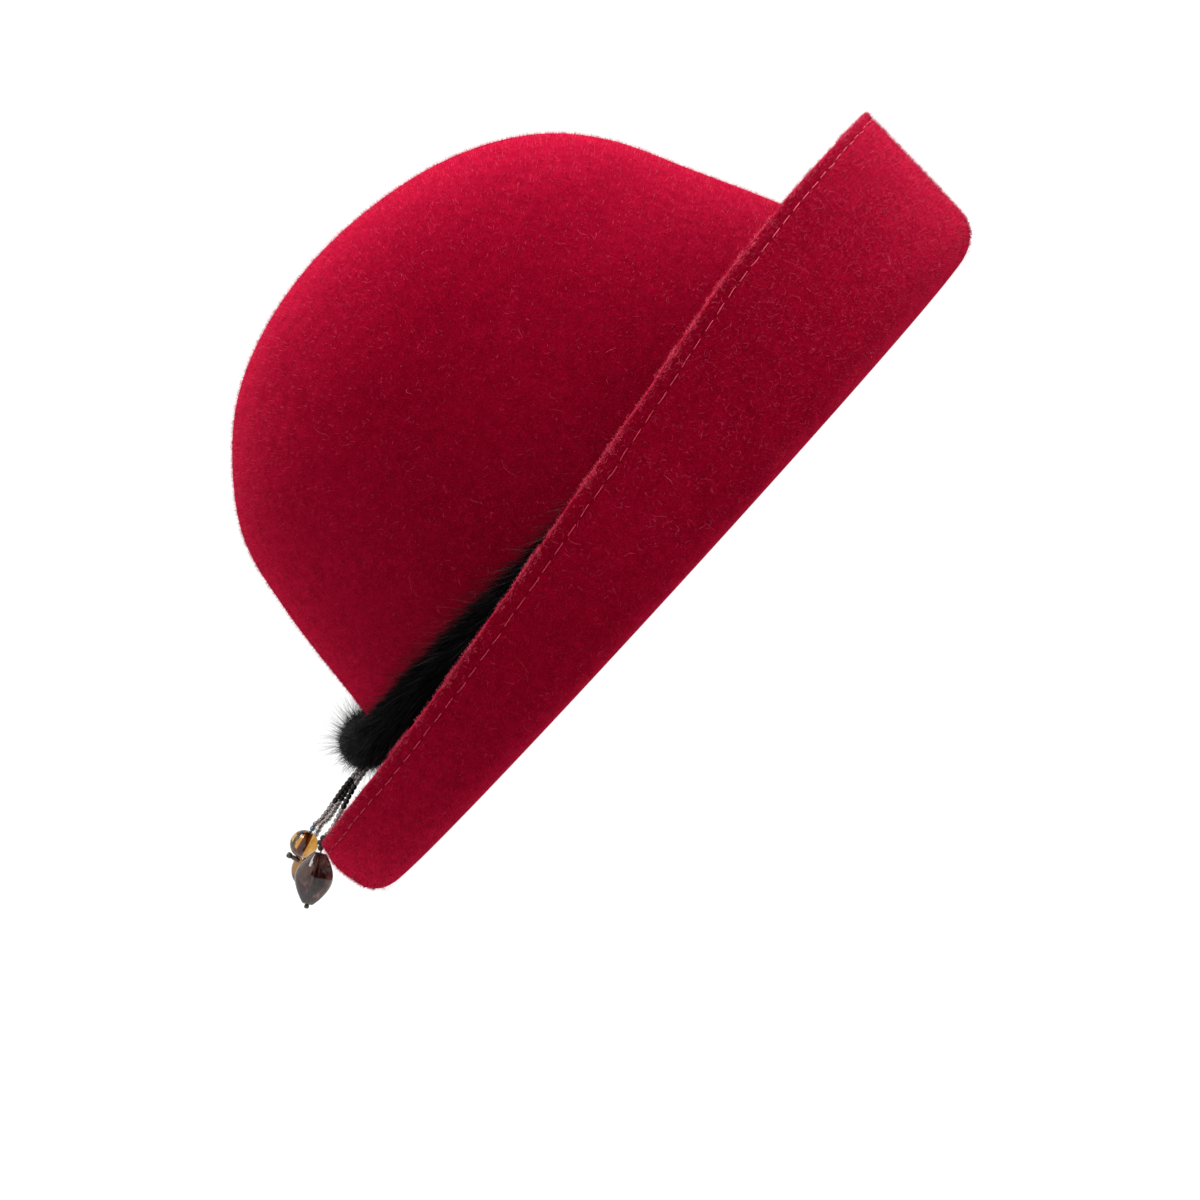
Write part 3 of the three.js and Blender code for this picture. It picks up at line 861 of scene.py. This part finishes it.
FUR_PATH = [
    off_crown(row["bearing"], row["height"], row["radius"] + GAP) for row in FUR_STATIONS
]
FUR_CORE, FUR_RINGS, FUR_SIDES = 0.86, 64, 18
FUR_STEPS = 400
# the hairs' roots: shares of the roll's length, at its tail and all along, and of its radius
FUR_TAIL, FUR_ALONG, FUR_ROOT, FUR_CAP = (0.0, 0.24), (0.02, 0.985), 0.82, 0.8
FUR_TAIL_END = 0.26
FUR_BEARINGS = (-128, 158)


def fur_frame(share, step=0.002):
    """The roll at a share of its length: its middle, the ways to the tail, out of the crown
    and over the top, and its radius."""
    middle = smooth_line(FUR_PATH, share)
    ends = max(share - step, 0), min(share + step, 1)
    ahead, behind = (smooth_line(FUR_PATH, end) for end in ends)
    ahead = (ahead - behind).normalized()
    over = (UP - ahead * UP.dot(ahead)).normalized()
    place = share * (len(FUR_STATIONS) - 1)
    k = min(int(place), len(FUR_STATIONS) - 2)
    near, far = FUR_STATIONS[k]["radius"], FUR_STATIONS[k + 1]["radius"]
    radius = near + (far - near) * (place - k)
    return middle, ahead, over.cross(ahead), over, radius


def fur_roll():
    bm = bmesh.new()
    last = None
    for i in range(FUR_RINGS + 1):
        middle, ahead, out, over, radius = fur_frame(i / FUR_RINGS)
        turn = Matrix((out, over, -ahead)).transposed().to_4x4()
        made = bmesh.ops.create_circle(
            bm, segments=FUR_SIDES, radius=radius * FUR_CORE * MM,
            matrix=Matrix.Translation(to_row(middle)) @ turn,
        )["verts"]
        ring = list({e for v in made for e in v.link_edges})
        if last:
            bmesh.ops.bridge_loops(bm, edges=last + ring)
        last = ring
    bmesh.ops.holes_fill(bm, edges=[e for e in bm.edges if e.is_boundary])
    bmesh.ops.recalc_face_normals(bm, faces=bm.faces)
    return bm


fur_skin = Finish("fur roll", Specular_IOR_Level=0.05)
clumps = fur_skin.noise(1.4, detail=3, distortion=1.5)
fur_stops = [(0.35, (0.0006, 0.0006, 0.0007)), (0.7, (0.003, 0.0029, 0.0032))]
fur_skin.mottled(clumps, fur_stops, 0.7, 0.2).bump(clumps, 0.8)
finished("fur_roll", fur_roll(), [fur_skin], "fur", replaced="fur_trim")


def fur_coat(
    name, count, finish, lengths, lift, width, steps, seed, ends, wild=0.16,
    fans=(0, 88), droops=0.32, few=1,
):
    """Hairs along the roll, lying towards its tail and fanning out round the end of it.
    ends is the share of the hairs at the tail, and few makes long hairs rarer."""
    rng = np.random.default_rng(seed)
    frames = [fur_frame(i / FUR_STEPS) for i in range(FUR_STEPS + 1)]
    middles = np.array([to_row(f[0]) for f in frames])
    ways = [np.array([f[k] for f in frames]) for k in (1, 2, 3)]
    radii = np.array([f[4] for f in frames]) * MM
    ended = rng.random(count) < ends
    share = np.where(ended, rng.uniform(*FUR_TAIL, count), rng.uniform(*FUR_ALONG, count))
    k = np.clip((share * FUR_STEPS).astype(int), 0, FUR_STEPS)
    ahead, out, over = (w[k] for w in ways)
    angle = np.radians(rng.uniform(*FUR_BEARINGS, count))
    around = swung(out, over, angle)
    tip = np.where(ended, np.clip(1 - share / FUR_TAIL_END, 0, 1), 0.0)
    fan = np.radians(rng.uniform(*fans, count))
    root = middles[k] + around * (radii[k] * FUR_ROOT)[:, None]
    cap = middles[k] + unit(swung(ahead, around, fan)) * (radii[k] * FUR_CAP)[:, None]
    root = np.where((tip > 0.5)[:, None], cap, root)
    tilt = np.radians(rng.uniform(*lift, count))
    clump = np.sin(share * 240 + 3 * np.sin(angle * 3)) * 0.2
    clump = clump + np.sin(share * 97 + angle * 5) * 0.16
    swell = np.exp(-(((share - FUR_SWELL["share"]) / FUR_SWELL["spread"]) ** 2))
    tilt = tilt + clump * 0.5 + np.where(ended, 0.35 * tip, 0) + FUR_SWELL["lift"] * swell
    tilt = np.where(tip > 0.5, fan * 0.9, tilt)
    run = unit(swung(ahead, around, tilt) + rng.normal(0, wild, (count, 3)))
    short, long = lengths
    shorter_in_front = 0.55 + 0.45 * np.minimum(1, (1 - share) * 6)
    length = (short + (long - short) * rng.random(count) ** few) * MM * shorter_in_front
    longer_below = 1 + 0.25 * np.clip(-np.sin(angle), 0, 1)
    length *= longer_below * (1 + FUR_SWELL["longer"] * swell)
    sideways = np.cross(around, ahead) * (clump * 1.4)[:, None]
    droop = unit(ahead * 0.8 + sideways - around * 0.25)
    t = np.linspace(0, 1, steps)[None, :, None]
    bent = run[:, None] * t + droops * (droop - run)[:, None] * t**2
    lines = root[:, None] + length[:, None, None] * bent
    hairs(name, lines, width, rng.random(count), finish, "fur")


under_finish = strand_finish(
    "fur underwool", (0.0006, 0.0006, 0.0007), (0.002, 0.002, 0.0023), 0.5,
    Roughness=0.5, Specular_IOR_Level=0.02,
)
guard_finish = strand_finish(
    "fur guard hair", (0.0008, 0.0008, 0.0009), (0.005, 0.0052, 0.0064), 0.6,
    Roughness=0.36, Specular_IOR_Level=0.06,
)
fur_coat(
    "fur_underwool", 34000, under_finish,
    lengths=(3.6, 6.4), lift=(16, 44), width=0.14, steps=4, seed=41, ends=0.2,
)
fur_coat(
    "fur_guard_hair", 9000, guard_finish,
    lengths=(6.0, 10.5), lift=(14, 46), width=0.08, steps=5, seed=42, ends=0.3, droops=0.2,
)
fur_coat(
    "fur_end_hair", 2000, guard_finish,
    lengths=(4.5, 14.0), lift=(44, 88), width=0.07, steps=5, seed=43, ends=1.0, wild=0.12,
    fans=(50, 104), droops=0.05, few=1.7,
)


# Bead strings: seed beads on a thread, over the brim's edge, to a large bead and a stopper seed

def string_course(leaves, crosses, lift, drop, fall, tilt):
    """A string's points, the way its bead hangs, and the top of its bead."""
    clear = SEED["radius"] + GAP
    start = off_crown(leaves, STRING_START, clear)
    out = oval_outward(FOLD, crosses)
    turns = radians(fall), radians(tilt)
    away, down = (out * sin(turn) - UP * cos(turn) for turn in turns)
    corner = clear * sqrt(0.5)
    edge = brim_wall(crosses)[0]
    bend = brim_value(BRIM_BENDS, crosses)
    slope = atan2(brim_value(BRIM_LEANS, crosses), brim_value(BRIM_HEIGHTS, crosses) - bend)
    inner = edge - out * (FELT / cos(slope) + corner) + UP * (corner + lift)
    outer = edge + out * corner + UP * (corner + lift)
    crest = inner.lerp(outer, 0.5) + UP * (clear - corner)
    middle = start.lerp(inner, 0.5) + UP * STRING_BOW
    end = outer + away * (drop + GAP)
    slant = SEED["radius"] * sin(radians(abs(tilt - fall)))
    return [start, middle, inner, crest, outer, end], down, end + down * (GAP + slant)


def turned_bead(bm, profile, sides, material, matrix):
    """A bead turned from a closed profile of radius and height, with its hole."""
    before = set(bm.faces)
    spin(bm, [bm.verts.new((r, 0, z)) for r, z in profile], True, sides)
    faces = [f for f in bm.faces if f not in before]
    bmesh.ops.recalc_face_normals(bm, faces=faces)
    for face in faces:
        face.material_index = material
    bmesh.ops.transform(bm, matrix=matrix, verts=list({v for f in faces for v in f.verts}))
    return faces


def along(spot, way):
    """The place of a bead at a spot, its hole along a way."""
    turn = Vector(way).to_track_quat("Z", "Y").to_matrix().to_4x4()
    return Matrix.Translation(to_row(spot)) @ turn @ Matrix.Diagonal((MM, MM, MM, 1))


def seed_profile(radius, length):
    half = length / 2
    end = [(SEED["hole"], half * 0.8), (radius * 0.72, half), (radius * 0.95, half * 0.55)]
    return [(r, -z) for r, z in end] + [(radius, 0)] + end[::-1]


LINE_STEPS, THREAD_EVERY, THREAD_TAIL = 400, 8, 1.2
SEED_SIDES, BEAD_SIDES = 12, 40
SEED_SIZES, SEED_LENGTHS, SEED_TURNS = (0.93, 1.03), (0.9, 1.02), 0.06
# stopper seeds, and how far their middles lie below the large bead
STOPPER = dict(radius=0.75, length=1.2)
BAR, BAR_END = dict(radius=0.75, length=2.8), dict(radius=0.9, length=1.5)
STOPPER_BELOW, BAR_BELOW, BAR_END_ACROSS = 0.65, 0.85, 2.1
CLEAR, BLACK, BLUE, CORD, GREEN, BROWN = range(6)
# the kinds of seed along each string, each up to a share of its length
SEED_PATTERNS = dict(
    round=[(0.42, CLEAR), (0.66, BLACK), (0.95, CLEAR), (1.01, BLUE)],
    oval=[(0.36, CLEAR), (0.57, BLACK), (0.88, CLEAR), (1.01, BLUE)],
    nugget=[(0.4, CLEAR), (0.62, BLACK), (0.88, CLEAR), (1.01, BLACK)],
)
seed_finishes = [
    glass_finish("clear seed glass", (0.34, 0.31, 0.28), (0.66, 0.64, 0.62), 2.0, through=0.85),
    Finish("black seed glass", Specular_IOR_Level=0.3),
    glass_finish("blue seed glass", (0.08, 0.2, 0.33), (0.42, 0.62, 0.72), 1.6, through=0.6),
    thread_finish("bead thread", (0.24, 0.15, 0.11), (0.1, 0.06, 0.045)),
    glass_finish("green seed glass", (0.012, 0.018, 0.006), (0.04, 0.05, 0.015), 1.2, through=0.25),
    glass_finish("brown seed glass", (0.045, 0.01, 0.006), (0.12, 0.03, 0.012), 1.2, through=0.35),
]
jet = seed_finishes[BLACK]
jet_stops = [(0.3, (0.003, 0.003, 0.0035)), (0.7, (0.012, 0.012, 0.013))]
jet.mottled(jet.noise(1.5, detail=1), jet_stops, 0.12, 0.2)


def lined(points, pitch):
    """Spots at an even pitch along a smooth line through points, each with the line's way
    and the share of its length there, and the line's fine steps."""
    fine = [smooth_line(points, i / LINE_STEPS) for i in range(LINE_STEPS + 1)]
    run = np.concatenate([[0], np.cumsum([(b - a).length for a, b in zip(fine, fine[1:])])])
    count = int(run[-1] / pitch)
    spots = []
    for i in range(count):
        place = run[-1] - (i + 0.5) * run[-1] / count
        k = min(int(np.searchsorted(run, place, side="right")), LINE_STEPS)
        near, far = fine[k - 1], fine[k]
        part = (place - run[k - 1]) / (run[k] - run[k - 1])
        spots.append((near.lerp(far, part), far - near, place / run[-1]))
    return spots[::-1], fine


def thread_through(bm, points):
    mesh = tube_mesh("bead_thread", points, THREAD_RADIUS, False)
    before = len(bm.faces)
    bm.from_mesh(mesh)
    bm.faces.ensure_lookup_table()
    for face in bm.faces[before:]:
        face.material_index = CORD
    bpy.data.meshes.remove(mesh)


def hang_string(name, bead_height):
    """One string's seeds, thread and stopper. Gives the top of its large bead and its way down."""
    points, down, top = string_course(**STRINGS[name])
    rng = np.random.default_rng(len(name))
    bm = bmesh.new()

    def seed(shape, kind, spot, way):
        turned_bead(bm, seed_profile(**shape), SEED_SIDES, kind, along(spot, way))

    spots, fine = lined(points, SEED["pitch"])
    for spot, way, share in spots:
        kind = next(kind for limit, kind in SEED_PATTERNS[name] if share < limit)
        shape = dict(
            radius=SEED["radius"] * rng.uniform(*SEED_SIZES),
            length=SEED["length"] * rng.uniform(*SEED_LENGTHS),
        )
        seed(shape, kind, spot, way.normalized() + Vector(rng.normal(0, SEED_TURNS, 3)))
    thread_through(bm, fine[::THREAD_EVERY] + [top, top + down * (bead_height + THREAD_TAIL)])
    if name != "round":
        seed(STOPPER, GREEN, top + down * (bead_height + STOPPER_BELOW), down)
    else:
        across = (UP - down * UP.dot(down)).normalized()
        bar = top + down * (bead_height + BAR_BELOW)
        seed(BAR, BROWN, bar, across)
        seed(BAR_END, GREEN, bar + across * BAR_END_ACROSS, across)
    finished(f"strand_{name}_seeds", bm, seed_finishes, "seed_beads", replaced=f"strand_{name}")
    return top, down


def rounded_profile(radius, height, rows=18):
    """Radius and height down the outside of a drilled bead, from the top of its hole."""
    half = height / 2
    end = asin(DRILL_RADIUS / radius)
    turns = [end + (pi - 2 * end) * i / rows for i in range(rows + 1)]
    return [(radius * sin(t), half * cos(t)) for t in turns]


drill_finish = Finish("drilled hole", Specular_IOR_Level=0.0, IOR=1.01, Transmission_Weight=0.6)
drill_stops = [(0.35, (0.2, 0.065, 0.008)), (0.7, (0.36, 0.14, 0.02))]
drill_finish.mottled(drill_finish.noise(0.8), drill_stops, 0.45, 0.3)
amber = glass_finish("amber glass", (0.3, 0.11, 0.015), (0.72, 0.42, 0.11), 4.0, rough=0.02)
dark_amber = glass_finish(
    "dark amber glass", (0.14, 0.055, 0.006), (0.29, 0.135, 0.022), 5.0, rough=0.02,
)
smoky = glass_finish(
    "smoky glass", (0.018, 0.013, 0.016), (0.1, 0.079, 0.095), 3.2,
    rough=0.03, through=0.85, between=(0.085, 0.033, 0.019),
)
HOLE_MARGIN, GROUND_MARGIN = 1.02, 1.2


def amber_bead(name, title, finish, radius, height):
    """A rounded bead on its string, with the walls of its hole in the drilled finish."""
    top, down = hang_string(name, height)
    middle = top + down * (height / 2)
    bm = bmesh.new()
    faces = turned_bead(bm, rounded_profile(radius, height), BEAD_SIDES, 0, along(middle, -down))
    spot, way = to_row(middle), down.normalized()
    for face in faces:
        offset = face.calc_center_median() - spot
        if (offset - way * offset.dot(way)).length < DRILL_RADIUS * HOLE_MARGIN * MM:
            face.material_index = 1
    finished(title, bm, [finish, drill_finish], "amber_glass", replaced=f"bead_{name}")


def nugget_bead():
    """A tumbled nugget on its string: a turned bead with soft flats ground on it."""
    height, softness, dip = NUGGET["height"], NUGGET["softness"], NUGGET["dip"]
    top, down = hang_string("nugget", height)
    rise = height / (len(NUGGET_RADII) - 1)
    levels = [Vector((r, 0, i * rise - height / 2)) for i, r in enumerate(NUGGET_RADII)]
    line = [smooth_line(levels, i / NUGGET["rows"]) for i in range(NUGGET["rows"] + 1)]
    outline = [(v.x, v.z) for v in line]
    ends = (DRILL_RADIUS, line[0].z + dip), (DRILL_RADIUS, line[-1].z - dip)
    bm = bmesh.new()
    turned_bead(bm, [ends[0], *outline, ends[1]], NUGGET["sides"], 0, Matrix())
    flats = [radians(f) for f in NUGGET_FLATS]
    for v in bm.verts:
        turn = atan2(v.co.y, v.co.x) + NUGGET["twist"] * v.co.z
        facing = sum(max(0, cos(turn - f)) ** softness for f in flats)
        ground = facing ** (-1 / softness)
        if v.co.xy.length > DRILL_RADIUS * GROUND_MARGIN:
            v.co.x, v.co.y = v.co.x * ground, v.co.y * ground
        v.co.x *= NUGGET["flat"]
    bmesh.ops.transform(bm, matrix=along(top + down * (height / 2), -down), verts=bm.verts)
    finished("smoky_nugget", bm, [smoky], "smoky_glass", replaced="bead_nugget")


amber_bead("round", "amber_ball", amber, radius=4.1, height=8.2)
amber_bead("oval", "amber_oval", dark_amber, radius=3.9, height=10.0)
nugget_bead()


# Floor, light and camera

FLOOR_SIZE, FLOOR_GLOW, SKY_STRENGTH = 20, 0.9, 1.1
KEY = dict(up=1.06, left=0.17, near=0.27, size=0.9, power=22)
VIEW = dict(
    x=-27.259, z=10.644, distance=670, yaw=0.491, rise=0.673, roll=47.661, lens=69.31, sensor=36,
)
WHITE = (1.0, 1.0, 1.0)


def studio():
    """A pale floor, which sends a little light up into the fold, and an even sky."""
    bm = bmesh.new()
    bmesh.ops.create_grid(bm, x_segments=1, y_segments=1, size=FLOOR_SIZE)
    floor = add_object("floor", mesh_of("floor", bm))
    pale = Finish(
        "pale floor", Specular_IOR_Level=0.1, Emission_Color=WHITE, Emission_Strength=FLOOR_GLOW,
    )
    stops = [(0.3, (0.22, 0.22, 0.225)), (0.7, (0.24, 0.24, 0.245))]
    pale.mottled(pale.noise(400), stops, 0.9, 0.05)
    floor.data.materials.append(pale.material)

    world = bpy.data.worlds.new("soft daylight")
    world.use_nodes = True
    sky = world.node_tree.nodes["Background"]
    sky.inputs["Color"].default_value = (*WHITE, 1)
    sky.inputs["Strength"].default_value = SKY_STRENGTH
    bpy.context.scene.world = world


def softbox(name, place, aim, size, power):
    lamp = bpy.data.lights.new(name, "AREA")
    lamp.shape, lamp.size, lamp.energy = "DISK", size, power
    holder = add_object(name, lamp)
    holder.location = place
    holder.rotation_mode = "QUATERNION"
    holder.rotation_quaternion = (Vector(aim) - Vector(place)).to_track_quat("-Z", "Y")


def camera():
    """The photo's view. Gives its ways to the right, up and back."""
    yaw, rise, roll = (radians(VIEW[k]) for k in ("yaw", "rise", "roll"))
    flat = cos(rise)
    back = Vector((sin(yaw) * flat, -cos(yaw) * flat, sin(rise)))
    level = Vector((cos(yaw), sin(yaw), 0))
    upright = back.cross(level)
    right = cos(roll) * level - sin(roll) * upright
    top = sin(roll) * level + cos(roll) * upright
    lens = bpy.data.cameras.new("camera")
    lens.lens, lens.sensor_width = VIEW["lens"], VIEW["sensor"]
    lens.clip_start, lens.clip_end = 0.01, 100
    holder = add_object("camera", lens)
    turn = Matrix((right, top, back)).transposed().to_4x4()
    place = Vector((VIEW["x"], 0, VIEW["z"])) + back * VIEW["distance"]
    holder.matrix_world = Matrix.Translation(to_row(place)) @ turn
    bpy.context.scene.camera = holder
    return right, top, back


studio()
view_right, view_up, toward_view = camera()
hat_middle = to_row((0, 0, 60))
key_place = hat_middle + view_up * KEY["up"] - view_right * KEY["left"] + toward_view * KEY["near"]
softbox("key", key_place, hat_middle, KEY["size"], KEY["power"])
bpy.context.scene.view_settings.view_transform = "Standard"
